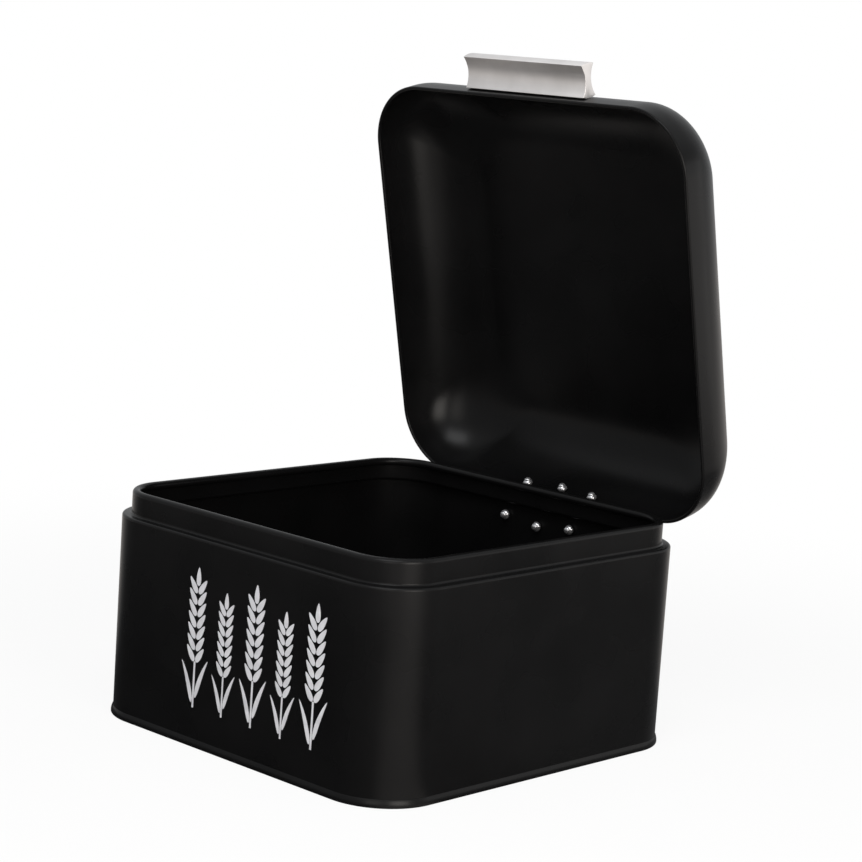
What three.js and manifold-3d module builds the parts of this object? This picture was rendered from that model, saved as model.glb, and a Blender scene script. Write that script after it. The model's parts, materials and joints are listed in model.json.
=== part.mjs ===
// Bread box: a square tin of painted steel, with a deep domed lid on one wide hinge at the back.
// Millimetres, +Z up. The hinge line runs along X at the back, and the printed front faces -Y.
// The lid is drawn closed, inside a group on the hinge line, and that group is turned open.
import * as THREE from 'three';
import { mergeVertices, toCreasedNormals } from 'three/addons/utils/BufferGeometryUtils.js';
import Module from 'manifold-3d';

const wasm = await Module();
wasm.setup();

// Sheet steel, and the clearances between pieces
const sheet = 0.6;
const seatGap = 0.1;
const holeGap = 0.15;
const overrun = 2;

// Box: outside of the wall, the shoulder where the lid lands, and the neck that it closes over
const boxWidth = 300;
const boxDepth = 307.3;
const boxCorner = 44;
const shoulderHeight = 146.2;
const shoulderRound = 1.8;
const neckTop = 163.7;
const neckStep = 6.6;
const neckFillet = 1.5;
const lipDiameter = 6;
const lipTurn = THREE.MathUtils.degToRad(300);

// Floor, double seamed to the wall's foot
const floorRise = 5;
const floorBend = 1.2;
const seamHeight = 6.4;
const seamRound = 0.5;
const hookHeight = 3.4;
const seamLayer = sheet + holeGap;

// Lid: straight skirt, round shoulder, flat crown. Its plan corners tighten towards the crown.
const lidOverhang = 1.45;
const lidCorner = 47.8;
const lidCornerShare = 0.12;
const skirtHeight = 10.6;
const crownRound = 52.8;
const hemDiameter = 2.8;
const hemTurn = THREE.MathUtils.degToRad(255);
const rimGap = 0.9;
const openAngle = THREE.MathUtils.degToRad(77.1);

// Hinge: two cranked leaves with five knuckles between them, round one pin
const hingeOut = 9.57;
const hingeDrop = 2;
const leafSheet = 1;
const leafWidth = 84;
const leafBend = 1;
const pinRadius = 1.5;
const pinGap = 0.3;
const pinProud = 0.7;
const pinDome = 0.5;
const knuckleCount = 5;
const knuckleGap = 0.4;
const knuckleClearance = 0.6;
const curlTurn = THREE.MathUtils.degToRad(262);
const baseCrank = THREE.MathUtils.degToRad(10);
const lidCrank = THREE.MathUtils.degToRad(32.4);
const baseRivetDrop = 11.2;
const lidRivetRise = 11.3;
const rivetStagger = 3.6;
const leafEdge = 9.5;
const leafMargin = 7;

// Blind rivets: dome outside, set bulb and mandrel head inside
const rivetRadius = 2;
const rivetHeadRadius = 3.6;
const rivetHeadHeight = 1.1;
const rivetBulbRadius = 3.4;
const rivetBulbLength = 4.7;
const bulbGap = 0.3;
const rivetBore = 1.1;
const mandrelRadius = 0.9;
const mandrelHeadRadius = 1.9;
const mandrelHeadLength = 1.3;
const mandrelSink = 0.4;

// Handle: one aluminium extrusion, hollowed on both long sides, on two screws from inside the lid
const handleLength = 114.6;
const handleReach = 25.6;
const handleThickness = 13.4;
const handleWaist = 6;
const handleBow = 1.25;
const handleRise = 6.2;
const screwSpacing = 76;
const screwRadius = 1.9;
const screwDepth = 10;
const screwHoleDepth = 12;
const screwHeadRadius = 3.9;
const screwHeadHeight = 2.2;
const slotWidth = 1;
const slotDepth = 1.1;

// How finely curves are stepped
const cornerSteps = 8;
const curlSteps = 12;
const crownSteps = 9;
const bendSteps = 3;
const roundSides = 14;
const creaseAngle = THREE.MathUtils.degToRad(35);

// Where the pieces meet
const lipRadius = lipDiameter / 2;
const hemRadius = hemDiameter / 2;
const rimHeight = shoulderHeight + rimGap;
const hingeY = boxDepth / 2 + hingeOut;
const hingeZ = shoulderHeight - hingeDrop;
const knucklePitch = leafWidth / knuckleCount;
const rivetSpacing = leafWidth / 2 - leafEdge;
const curlMid = pinRadius + pinGap + leafSheet / 2;
const curlOuter = curlMid + leafSheet / 2;
const boxPlan = { width: boxWidth, depth: boxDepth };
const lidPlan = { width: boxWidth + 2 * lidOverhang, depth: boxDepth + 2 * lidOverhang };
const lidBack = lidPlan.depth / 2;

const paint = { color: 0x151414, roughness: 0.42, metalness: 0 };
const steel = { color: 0xb9bcc0, roughness: 0.28, metalness: 1 };
const aluminium = { color: 0xc6c4c2, roughness: 0.38, metalness: 1 };

function piece(name, geometry, look) {
  const material = new THREE.MeshStandardMaterial(look);
  const mesh = new THREE.Mesh(toCreasedNormals(geometry, creaseAngle), material);
  mesh.name = name;
  return mesh;
}

// Booleans

function solid(geometry) {
  const bare = geometry.clone();
  bare.deleteAttribute('normal');
  bare.deleteAttribute('uv');
  const merged = mergeVertices(bare);
  return new wasm.Manifold(new wasm.Mesh({
    numProp: 3,
    vertProperties: Float32Array.from(merged.attributes.position.array),
    triVerts: Uint32Array.from(merged.index.array),
  }));
}

function surface(body) {
  const mesh = body.getMesh();
  const geometry = new THREE.BufferGeometry();
  geometry.setAttribute('position', new THREE.BufferAttribute(mesh.vertProperties, 3));
  geometry.setIndex(new THREE.BufferAttribute(mesh.triVerts, 1));
  return geometry;
}

function cut(geometry, tools) {
  return surface(tools.reduce((body, tool) => body.subtract(solid(tool)), solid(geometry)));
}

// Rings and lofts. A station is one level of a pressed shape: its inset from the plan's outside,
// its height and its corner radius.

function ring({ inset, z, corner }, plan) {
  const points = [];
  const reachX = plan.width / 2 - inset - corner;
  const reachY = plan.depth / 2 - inset - corner;
  [[1, 1], [-1, 1], [-1, -1], [1, -1]].forEach(([signX, signY], quarter) => {
    for (let step = 0; step <= cornerSteps; step++) {
      const angle = (quarter + step / cornerSteps) * Math.PI / 2;
      points.push([signX * reachX + corner * Math.cos(angle), signY * reachY + corner * Math.sin(angle), z]);
    }
  });
  return points;
}

function loft(stations, plan, capped) {
  const rings = stations.map((station) => ring(station, plan));
  const around = rings[0].length;
  const position = rings.flat(2);
  const index = [];
  const band = (from, to) => {
    for (let side = 0; side < around; side++) {
      const next = (side + 1) % around;
      index.push(from + side, from + next, to + next, from + side, to + next, to + side);
    }
  };
  for (let level = 0; level + 1 < rings.length; level++) band(level * around, (level + 1) * around);
  if (!capped) band((rings.length - 1) * around, 0);
  else {
    const first = position.length / 3;
    const last = (rings.length - 1) * around;
    position.push(0, 0, stations[0].z, 0, 0, stations[stations.length - 1].z);
    for (let side = 0; side < around; side++) {
      const next = (side + 1) % around;
      index.push(first, next, side, first + 1, last + side, last + next);
    }
  }
  const geometry = new THREE.BufferGeometry();
  geometry.setAttribute('position', new THREE.Float32BufferAttribute(position, 3));
  geometry.setIndex(index);
  return geometry;
}

// Points of an arc in a section. The angles are in radians, from the first axis towards the second.
function arc(centreX, centreY, radius, from, to, steps) {
  const points = [];
  for (let step = 0; step <= steps; step++) {
    const angle = from + (to - from) * step / steps;
    points.push([centreX + radius * Math.cos(angle), centreY + radius * Math.sin(angle)]);
  }
  return points;
}

// Section points to stations, with corners that stay parallel to the plan's outside.
const parallel = (corner) => ([inset, z]) => ({ inset, z, corner: corner - inset });

function lathe(profile) {
  const points = profile.map(([radius, along]) => new THREE.Vector2(radius, along));
  return new THREE.LatheGeometry(points, roundSides);
}

// Box wall: foot hooked outwards for the seam, shoulder, neck and a lip rolled inwards.
function wallSection() {
  const half = Math.PI / 2;
  const foot = seamLayer;
  const lipX = neckStep + lipRadius;
  const lipZ = neckTop - lipRadius;
  const lipEnd = Math.PI - lipTurn;
  return [
    [-seamLayer, foot], [-seamLayer, foot + hookHeight], [-holeGap, foot + hookHeight],
    [-holeGap, foot + sheet], [0, foot + sheet],
    ...arc(shoulderRound, shoulderHeight - shoulderRound, shoulderRound, Math.PI, half, bendSteps),
    ...arc(neckStep - neckFillet, shoulderHeight + neckFillet, neckFillet, -half, 0, bendSteps),
    ...arc(lipX, lipZ, lipRadius, Math.PI, lipEnd, curlSteps),
    ...arc(lipX, lipZ, lipRadius - sheet, lipEnd, Math.PI, curlSteps),
    ...arc(neckStep - neckFillet, shoulderHeight + neckFillet, neckFillet + sheet, 0, -half, bendSteps),
    ...arc(shoulderRound, shoulderHeight - shoulderRound, shoulderRound - sheet, half, Math.PI, bendSteps),
    [sheet, foot],
  ].filter(([inset, z], at, all) => at === 0 || inset !== all[at - 1][0] || z !== all[at - 1][1]);
}

// Box floor: a tray pushed up inside the wall, whose edge wraps the wall's foot from inside to out.
function floorSection() {
  const seamOut = 2 * seamLayer;
  const legOut = seamLayer;
  const legIn = seamLayer + sheet;
  return [
    [legIn + floorBend, floorRise - sheet], [legIn, floorRise - sheet - floorBend],
    [legIn, seamRound], [legIn - seamRound, 0], [seamRound - seamOut, 0], [-seamOut, seamRound],
    [-seamOut, seamHeight - seamRound], [seamRound - seamOut, seamHeight],
    [-holeGap, seamHeight], [-holeGap, seamHeight - sheet],
    [sheet - seamOut, seamHeight - sheet], [sheet - seamOut, sheet],
    [legOut, sheet], [legOut, floorRise - floorBend], [legOut + floorBend, floorRise],
  ];
}

// Lid's outside face at a height above the rim: how far it has drawn in from the skirt, and its slope.
const crownSection = (radius) => arc(crownRound, skirtHeight, radius, Math.PI, Math.PI / 2, crownSteps);

function lidFace(height) {
  const section = [[0, 0], ...crownSection(crownRound)];
  const above = Math.max(section.findIndex(([, level]) => level > height), 1);
  const [lowInset, low] = section[above - 1];
  const [highInset, high] = section[above];
  return {
    inset: THREE.MathUtils.mapLinear(height, low, high, lowInset, highInset),
    lean: Math.atan2(highInset - lowInset, high - low),
  };
}

function lidStations() {
  const station = (outerInset, depth, z) => ({
    inset: outerInset + depth, z: rimHeight + z, corner: lidCorner - lidCornerShare * outerInset - depth,
  });
  const outer = crownSection(crownRound).map(([inset, z]) => station(inset, 0, z));
  const inner = crownSection(crownRound - sheet).map(([inset, z], at) => {
    const outerInset = outer[at].inset;
    return station(outerInset, inset - outerInset, z);
  });
  const hem = (radius, from, to) => arc(hemRadius, hemRadius, radius, from, to, curlSteps)
    .map(([inset, z]) => station(0, inset, z));
  const hemEnd = Math.PI + hemTurn;
  return [...inner.reverse(), ...hem(hemRadius - sheet, Math.PI, hemEnd),
    ...hem(hemRadius, hemEnd, Math.PI), ...outer];
}

// Bent strips: a middle line, rounded at its corners, thickened to a closed outline and extruded.

function roundBend([beforeX, beforeY], [cornerX, cornerY], [afterX, afterY], radius) {
  const corner = new THREE.Vector2(cornerX, cornerY);
  const back = new THREE.Vector2(beforeX, beforeY).sub(corner).normalize();
  const on = new THREE.Vector2(afterX, afterY).sub(corner).normalize();
  const half = Math.acos(back.dot(on)) / 2;
  const reach = radius / Math.tan(half);
  const start = corner.clone().addScaledVector(back, reach);
  const end = corner.clone().addScaledVector(on, reach);
  const points = [];
  for (let step = 0; step <= bendSteps; step++) {
    const share = step / bendSteps;
    const a = start.clone().lerp(corner, share);
    points.push(a.lerp(corner.clone().lerp(end, share), share).toArray());
  }
  return points;
}

function strip(middle, thickness) {
  const sides = [[], []];
  middle.forEach(([x, y], at) => {
    const before = middle[Math.max(at - 1, 0)];
    const after = middle[Math.min(at + 1, middle.length - 1)];
    const into = new THREE.Vector2(x - before[0], y - before[1]).normalize();
    const out = new THREE.Vector2(after[0] - x, after[1] - y).normalize();
    if (at === 0) into.copy(out);
    if (at === middle.length - 1) out.copy(into);
    const along = into.clone().add(out).normalize();
    const reach = thickness / 2 / along.dot(into);
    sides[0].push(new THREE.Vector2(x - along.y * reach, y + along.x * reach));
    sides[1].unshift(new THREE.Vector2(x + along.y * reach, y - along.x * reach));
  });
  return new THREE.Shape([...sides[0], ...sides[1]]);
}

// A section drawn in (Y, Z), extruded along X about the middle.
function extrudeX(shape, length) {
  return new THREE.ExtrudeGeometry(shape, { depth: length, bevelEnabled: false })
    .translate(0, 0, -length / 2).rotateY(Math.PI / 2).rotateX(Math.PI / 2);
}

// A face drawn in (X, Z), extruded along Y from one depth to another.
function extrudeY(shape, from, to) {
  const settings = { depth: to - from, bevelEnabled: false, curveSegments: roundSides };
  return new THREE.ExtrudeGeometry(shape, settings).rotateX(Math.PI / 2).translate(0, to, 0);
}

// Rivets stand square to the face that they hold. Places are from the hinge line, as on the leaves.
const rivetNames = ['left', 'middle', 'right'];
const rivetX = [-rivetSpacing, 0, rivetSpacing];
const rivetOffset = [0, rivetStagger, 0];

function basePlaces() {
  const face = boxDepth / 2 + seatGap + leafSheet;
  const top = shoulderHeight - baseRivetDrop;
  return rivetX.map((x, at) => ({ x, y: face, z: top - rivetOffset[at], lean: 0 }));
}

function lidPlaces() {
  return rivetX.map((x, at) => {
    const height = lidRivetRise + rivetOffset[at];
    const { inset, lean } = lidFace(height);
    const out = seatGap + leafSheet;
    return {
      x,
      y: lidBack - inset + out * Math.cos(lean),
      z: rimHeight + height + out * Math.sin(lean),
      lean,
    };
  });
}

// Turns a shape made along +Y (outwards) to a place on a face.
function place(geometry, { x, y, z, lean }) {
  return geometry.rotateX(lean).translate(x, y, z);
}

function drill(places, radius) {
  const reach = rivetHeadRadius + overrun;
  return places.map((spot) => place(new THREE.CylinderGeometry(radius, radius, 2 * reach, roundSides), spot));
}

// Leaves

function knuckleCutters(parity) {
  const cutters = [];
  for (let at = 0; at < knuckleCount; at++) {
    if (at % 2 !== parity) continue;
    const outermost = at === 0 || at === knuckleCount - 1;
    const length = knucklePitch + knuckleGap + (outermost ? overrun : 0);
    const middle = (at + 1 / 2) * knucklePitch - leafWidth / 2;
    const shift = outermost ? Math.sign(middle) * overrun / 2 : 0;
    const radius = curlOuter + knuckleClearance;
    const cutter = new THREE.CylinderGeometry(radius, radius, length, 2 * roundSides);
    cutter.rotateZ(Math.PI / 2).translate(middle + shift, hingeY, hingeZ);
    cutters.push(cutter);
  }
  return cutters;
}

// Plate outline, seen from behind: side margins round the outer holes, and a bow round the middle one.
function leafOutline(outerZ, middleZ, rootZ) {
  const sign = Math.sign(outerZ - rootZ);
  const half = leafWidth / 2;
  const edgeZ = outerZ + sign * leafMargin;
  const cornerZ = edgeZ - sign * leafEdge;
  const shape = new THREE.Shape();
  shape.moveTo(-half, rootZ);
  shape.lineTo(-half, cornerZ);
  shape.quadraticCurveTo(-half, edgeZ, leafEdge - half, edgeZ);
  shape.quadraticCurveTo(0, middleZ + sign * (leafMargin + rivetStagger), half - leafEdge, edgeZ);
  shape.quadraticCurveTo(half, edgeZ, half, cornerZ);
  shape.lineTo(half, rootZ);
  return shape;
}

function leaf(middle, outline, places, parity) {
  const strap = extrudeX(strip(middle, leafSheet), leafWidth);
  const face = extrudeY(outline, hingeY - hingeOut - crownRound, hingeY + curlOuter + overrun);
  const trimmed = surface(solid(strap).intersect(solid(face)));
  return cut(trimmed, [...knuckleCutters(parity), ...drill(places, rivetRadius + holeGap)]);
}

function baseLeaf() {
  const plateY = boxDepth / 2 + seatGap + leafSheet / 2;
  const places = basePlaces();
  const low = places[1].z - leafMargin - overrun;
  const start = -Math.PI / 2 + baseCrank;
  const tangent = [hingeY + curlMid * Math.cos(start), hingeZ + curlMid * Math.sin(start)];
  const bend = [plateY, tangent[1] - (tangent[0] - plateY) * Math.tan(baseCrank)];
  const foot = [plateY, low];
  const middle = [foot, ...roundBend(foot, bend, tangent, leafBend),
    ...arc(hingeY, hingeZ, curlMid, start, start + curlTurn, curlSteps)];
  const root = hingeZ + curlOuter + overrun;
  return leaf(middle, leafOutline(places[0].z, places[1].z, root), places, 1);
}

function lidLeaf() {
  const out = seatGap + leafSheet / 2;
  const places = lidPlaces();
  const top = lidRivetRise + rivetStagger + leafMargin + overrun;
  const start = Math.PI / 2 - lidCrank;
  const tangent = [hingeY + curlMid * Math.cos(start), hingeZ + curlMid * Math.sin(start)];
  const plateY = lidBack + out;
  const bend = [plateY, tangent[1] + (tangent[0] - plateY) * Math.tan(lidCrank)];
  const face = crownSection(crownRound + out);
  const onFace = face.slice(0, face.findIndex(([, height]) => height > top) + 1).reverse()
    .map(([inset, height]) => [lidBack - inset, rimHeight + height]);
  const middle = [...onFace, ...roundBend(onFace[onFace.length - 1], bend, tangent, leafBend),
    ...arc(hingeY, hingeZ, curlMid, start, start - curlTurn, curlSteps)];
  const root = hingeZ - curlOuter - overrun;
  return leaf(middle, leafOutline(places[0].z, places[1].z, root), places, 0);
}

function hingePin() {
  const half = leafWidth / 2 + pinProud;
  return lathe([[0, -half], [pinRadius - pinDome, -half], [pinRadius, pinDome - half],
    [pinRadius, half - pinDome], [pinRadius - pinDome, half], [0, half]])
    .rotateZ(-Math.PI / 2).translate(0, hingeY, hingeZ);
}

// Rivet, along +Y outwards from the leaf's outer face: dome head, shank, and the bulb set behind the sheet
function rivet() {
  const grip = leafSheet + 2 * seatGap + sheet;
  const bulbEnd = -grip - rivetBulbLength;
  const bulbMiddle = -grip - rivetBulbLength / 2;
  const bulbNeck = -grip - bulbGap;
  const domeShare = 0.7;
  const bulbShare = 0.84;
  const turnShare = 0.54;
  const turn = THREE.MathUtils.lerp(bulbEnd, bulbMiddle, turnShare);
  return lathe([
    [rivetBore, rivetHeadHeight], [rivetHeadRadius * domeShare, rivetHeadHeight * domeShare],
    [rivetHeadRadius, seatGap], [rivetRadius, seatGap], [rivetRadius, bulbNeck],
    [rivetBulbRadius * bulbShare, bulbNeck], [rivetBulbRadius, (bulbNeck + bulbMiddle) / 2],
    [rivetBulbRadius, bulbMiddle], [rivetBulbRadius * bulbShare, turn],
    [mandrelHeadRadius, bulbEnd], [rivetBore, bulbEnd], [rivetBore, rivetHeadHeight],
  ].reverse());
}

// Mandrel: its head caps the bulb, and its stem broke off just inside the dome.
function mandrel() {
  const grip = leafSheet + 2 * seatGap + sheet;
  const seat = -grip - rivetBulbLength - seatGap;
  const end = seat - mandrelHeadLength;
  const domeShare = 0.6;
  const riseShare = 0.8;
  const top = rivetHeadHeight - mandrelSink;
  return lathe([
    [0, end], [mandrelHeadRadius * domeShare, THREE.MathUtils.lerp(seat, end, riseShare)],
    [mandrelHeadRadius, seat], [mandrelRadius, seat], [mandrelRadius, top], [0, top],
  ]);
}

function riveted(group, side, places) {
  places.forEach((spot, at) => {
    group.add(piece(`rivet_${side}_${rivetNames[at]}`, place(rivet(), spot), steel));
    group.add(piece(`mandrel_${side}_${rivetNames[at]}`, place(mandrel(), spot), steel));
  });
}

// Handle and its screws. Both stand on the lid's front skirt and reach forwards.
const handleMiddle = handleRise + handleThickness / 2;
const screwX = [-screwSpacing / 2, screwSpacing / 2];

// Section: an hourglass whose tip and foot both bow outwards. The foot meets the skirt along its middle.
function handle() {
  const tip = -lidBack - handleReach;
  const foot = -lidBack + lidFace(handleMiddle).inset - seatGap;
  const low = rimHeight + handleRise;
  const high = low + handleThickness;
  const hollow = handleThickness - handleWaist;
  const midY = (tip + foot) / 2;
  const midZ = (low + high) / 2;
  const shape = new THREE.Shape();
  shape.moveTo(tip + handleBow, low);
  shape.quadraticCurveTo(tip - handleBow, midZ, tip + handleBow, high);
  shape.quadraticCurveTo(midY, high - hollow, foot - handleBow, high);
  shape.quadraticCurveTo(foot + handleBow, midZ, foot - handleBow, low);
  shape.quadraticCurveTo(midY, low + hollow, tip + handleBow, low);
  const bar = extrudeX(shape, handleLength);
  return cut(bar, screwX.map((x) => screwRod(x, screwRadius + holeGap, screwHoleDepth)));
}

function screwRod(x, radius, depth) {
  const start = -lidBack + sheet + overrun;
  const end = -lidBack - depth;
  return new THREE.CylinderGeometry(radius, radius, start - end, roundSides)
    .translate(x, (start + end) / 2, rimHeight + handleMiddle);
}

function screw(x) {
  const under = -lidBack + lidFace(handleMiddle + screwHeadRadius).inset + sheet + seatGap;
  const top = under + screwHeadHeight;
  const end = -lidBack - screwDepth;
  const edgeShare = 0.8;
  const body = lathe([[0, end], [screwRadius * edgeShare, end],
    [screwRadius, end + screwRadius * (1 - edgeShare)], [screwRadius, under], [screwHeadRadius, under],
    [screwHeadRadius, top - slotDepth / 2], [screwHeadRadius * edgeShare, top], [0, top]]);
  body.translate(x, 0, rimHeight + handleMiddle);
  const slot = new THREE.BoxGeometry(2 * screwHeadRadius + overrun, slotDepth + overrun, slotWidth)
    .translate(x, top - slotDepth + (slotDepth + overrun) / 2, rimHeight + handleMiddle);
  return cut(body, [slot]);
}

// Assembly

const base = new THREE.Group();
const wall = loft(wallSection().map(parallel(boxCorner)), boxPlan, false);
base.add(piece('base_wall', cut(wall, drill(basePlaces(), rivetRadius + holeGap)), paint));
base.add(piece('base_floor', loft(floorSection().map(parallel(boxCorner)), boxPlan, true), paint));
base.add(piece('hinge_leaf_base', baseLeaf(), steel));
base.add(piece('hinge_pin', hingePin(), steel));
riveted(base, 'base', basePlaces());

const lid = new THREE.Group();
const lidHoles = [...drill(lidPlaces(), rivetRadius + holeGap),
  ...screwX.map((x) => screwRod(x, screwRadius + holeGap, overrun))];
lid.add(piece('lid_shell', cut(loft(lidStations(), lidPlan, true), lidHoles), paint));
lid.add(piece('hinge_leaf_lid', lidLeaf(), steel));
riveted(lid, 'lid', lidPlaces());
lid.add(piece('handle', handle(), aluminium));
screwX.forEach((x, at) => lid.add(piece(`handle_screw_${['left', 'right'][at]}`, screw(x), steel)));

// The lid turns about the hinge line.
const swing = new THREE.Group();
swing.position.set(0, hingeY, hingeZ);
swing.rotation.x = -openAngle;
lid.position.set(0, -hingeY, -hingeZ);
swing.add(lid);

// The origin is on the ground, under the middle of the open box's outside.
const breadBox = new THREE.Group();
breadBox.name = 'bread_box';
breadBox.add(base, swing);
breadBox.updateMatrixWorld(true);
const extent = new THREE.Box3().setFromObject(breadBox, true);
breadBox.position.y = -(extent.min.y + extent.max.y) / 2;

export default breadBox;
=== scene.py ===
# Bread box: black powder-coated steel, standing open in a pale studio. Metres, Z up.
# Sizes in the dictionaries are millimetres and degrees, and become metres where they are used.
import json
import math

import bmesh
import bpy
from mathutils import Matrix, Vector


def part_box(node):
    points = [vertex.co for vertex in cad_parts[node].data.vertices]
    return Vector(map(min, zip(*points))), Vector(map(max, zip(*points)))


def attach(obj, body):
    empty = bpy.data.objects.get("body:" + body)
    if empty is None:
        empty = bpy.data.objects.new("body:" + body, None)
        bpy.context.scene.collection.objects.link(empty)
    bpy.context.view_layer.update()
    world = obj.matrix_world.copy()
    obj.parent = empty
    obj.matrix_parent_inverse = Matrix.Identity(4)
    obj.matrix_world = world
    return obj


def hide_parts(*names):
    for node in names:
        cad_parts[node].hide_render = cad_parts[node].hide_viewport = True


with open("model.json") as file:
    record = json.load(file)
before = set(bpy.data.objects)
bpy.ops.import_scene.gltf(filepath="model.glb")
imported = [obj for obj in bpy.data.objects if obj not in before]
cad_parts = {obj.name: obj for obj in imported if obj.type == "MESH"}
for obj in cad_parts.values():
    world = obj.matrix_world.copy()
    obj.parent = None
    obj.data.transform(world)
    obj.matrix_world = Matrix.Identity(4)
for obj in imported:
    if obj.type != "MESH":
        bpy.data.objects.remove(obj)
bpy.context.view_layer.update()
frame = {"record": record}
scene = bpy.context.scene
mm = 0.001

hinge = frame["record"]["behaviour"]["joints"][0]
hingeLine = Vector(hinge["pos_m"])
openTurn = -math.radians(hinge["range_deg"][1])
wallLow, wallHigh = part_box("base_wall")
boxMiddle = Vector(((wallLow.x + wallHigh.x) / 2, (wallLow.y + wallHigh.y) / 2, 0))

# The box is drawn round its own middle. The lid is drawn closed on it, then turned open.
boxPlace = Matrix.Translation(boxMiddle)
lidPlace = (Matrix.Translation(hingeLine) @ Matrix.Rotation(openTurn, 4, "X")
            @ Matrix.Translation(boxMiddle - hingeLine))

# The camera was fitted to the photograph, so it slides and rolls a little.
cameraFit = {
    "azimuth": 43.5, "elevation": 9.273, "roll": 3.893, "distance": 1794.33, "aimHeight": 100,
    "slideRight": 26.92, "slideUp": 114.21, "lens": 104.23, "sensor": 36, "clip": (50, 60000),
}


def makeCamera(fit):
    azimuth, elevation, roll = (math.radians(fit[key]) for key in ("azimuth", "elevation", "roll"))
    back = Vector((math.sin(azimuth) * math.cos(elevation),
                   -math.cos(azimuth) * math.cos(elevation), math.sin(elevation)))
    right = Vector((math.cos(azimuth), math.sin(azimuth), 0))
    up = back.cross(right)
    axisX = right * math.cos(roll) + up * math.sin(roll)
    axisY = up * math.cos(roll) - right * math.sin(roll)
    place = boxMiddle + mm * (back * fit["distance"] + axisX * fit["slideRight"]
                              + axisY * fit["slideUp"] + Vector((0, 0, fit["aimHeight"])))
    data = bpy.data.cameras.new("camera")
    data.lens = fit["lens"]
    data.sensor_width = fit["sensor"]
    data.clip_start, data.clip_end = (reach * mm for reach in fit["clip"])
    camera = bpy.data.objects.new("camera", data)
    turn = Matrix((axisX, axisY, back)).transposed().to_4x4()
    camera.matrix_world = Matrix.Translation(place) @ turn
    scene.collection.objects.link(camera)
    scene.camera = camera


makeCamera(cameraFit)
print("camera placed")


# Short ways to add nodes, used by materials and shapes alike
def feed(tree, socket, value):
    if isinstance(value, bpy.types.NodeSocket):
        tree.links.new(value, socket)
    else:
        socket.default_value = value


def add(tree, kind, inputs=None, **settings):
    node = tree.nodes.new(kind)
    for key, value in settings.items():
        setattr(node, key, value)
    for key, value in (inputs or {}).items():
        feed(tree, node.inputs[key], value)
    return node


def number(tree, operation, *values):
    return add(tree, "ShaderNodeMath", dict(enumerate(values)), operation=operation).outputs[0]


def vectorNode(tree, operation, values):
    return add(tree, "ShaderNodeVectorMath", values, operation=operation)


def vector(tree, operation, *values):
    return vectorNode(tree, operation, dict(enumerate(values))).outputs[0]


def scaled(tree, value, factor):
    return vectorNode(tree, "SCALE", {0: value, "Scale": factor}).outputs[0]


def combine(tree, x, y, z):
    return add(tree, "ShaderNodeCombineXYZ", {"X": x, "Y": y, "Z": z}).outputs[0]


def separate(tree, value):
    return add(tree, "ShaderNodeSeparateXYZ", {0: value}).outputs


def mapped(tree, value, edges, low, high, curve="SMOOTHSTEP"):
    # Goes from low to high while the value goes from one edge to the other
    return add(tree, "ShaderNodeMapRange", {
        "Value": value, "From Min": edges[0], "From Max": edges[1], "To Min": low, "To Max": high,
    }, interpolation_type=curve).outputs["Result"]


def mixColours(tree, factor, first, second):
    node = add(tree, "ShaderNodeMix", {"Factor": factor}, data_type="RGBA")
    for socket, colour in (("A", first), ("B", second)):
        feed(tree, node.inputs[socket], (*colour, 1) if isinstance(colour, tuple) else colour)
    return node.outputs["Result"]


def newTree(kind, name, inputs, outputs):
    # Inputs and outputs are labels under the type of their socket.
    tree = bpy.data.node_groups.new(name, kind)
    for side, sockets in (("OUTPUT", outputs), ("INPUT", inputs)):
        for socketType, labels in sockets.items():
            for label in labels:
                tree.interface.new_socket(name=label, in_out=side,
                                          socket_type="NodeSocket" + socketType)
    return tree, tree.nodes.new("NodeGroupInput").outputs, tree.nodes.new("NodeGroupOutput").inputs


# Patterns that more than one finish uses
noiseDetail = {"peel": 1, "grain": 2, "coatPatches": 2, "lines": 3, "metalPatches": 3}
noiseSpan = (0.3, 0.7)  # where most of a noise's values lie


def noise(tree, place, size, detail):
    # Its features are about as wide as the size, in millimetres.
    return add(tree, "ShaderNodeTexNoise", {
        "Vector": place, "Scale": number(tree, "DIVIDE", 1 / mm, size), "Detail": detail,
    }).outputs[0]


def makeGrainGroup():
    # A coat: a soft orange peel with fine grain on it, and slow patches where hands and cloths went
    tree, given, out = newTree("ShaderNodeTree", "powderGrain", {
        "Float": ["Peel Size", "Grain Size", "Grain Share", "Patch Size"],
    }, {"Float": ["Height", "Patches"]})
    place = add(tree, "ShaderNodeTexCoord").outputs["Object"]
    peel = noise(tree, place, given["Peel Size"], noiseDetail["peel"])
    grain = noise(tree, place, given["Grain Size"], noiseDetail["grain"])
    feed(tree, out["Height"], number(tree, "MULTIPLY_ADD", grain, given["Grain Share"], peel))
    feed(tree, out["Patches"], noise(tree, place, given["Patch Size"], noiseDetail["coatPatches"]))
    return tree


def makeLinesGroup():
    # Drawn or brushed metal: fine lines along X, with slow patches over them
    tree, given, out = newTree("ShaderNodeTree", "drawnLines", {
        "Float": ["Line Size", "Stretch", "Patch Size"],
    }, {"Float": ["Height", "Patches"]})
    place = add(tree, "ShaderNodeTexCoord").outputs["Object"]
    along = number(tree, "DIVIDE", 1, given["Stretch"])
    drawn = vector(tree, "MULTIPLY", place, combine(tree, along, 1, 1))
    feed(tree, out["Height"], noise(tree, drawn, given["Line Size"], noiseDetail["lines"]))
    feed(tree, out["Patches"], noise(tree, place, given["Patch Size"], noiseDetail["metalPatches"]))
    return tree


def newMaterial(name):
    material = bpy.data.materials.new(name)
    material.use_nodes = True
    tree = material.node_tree
    return material, tree, tree.nodes["Principled BSDF"]


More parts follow.
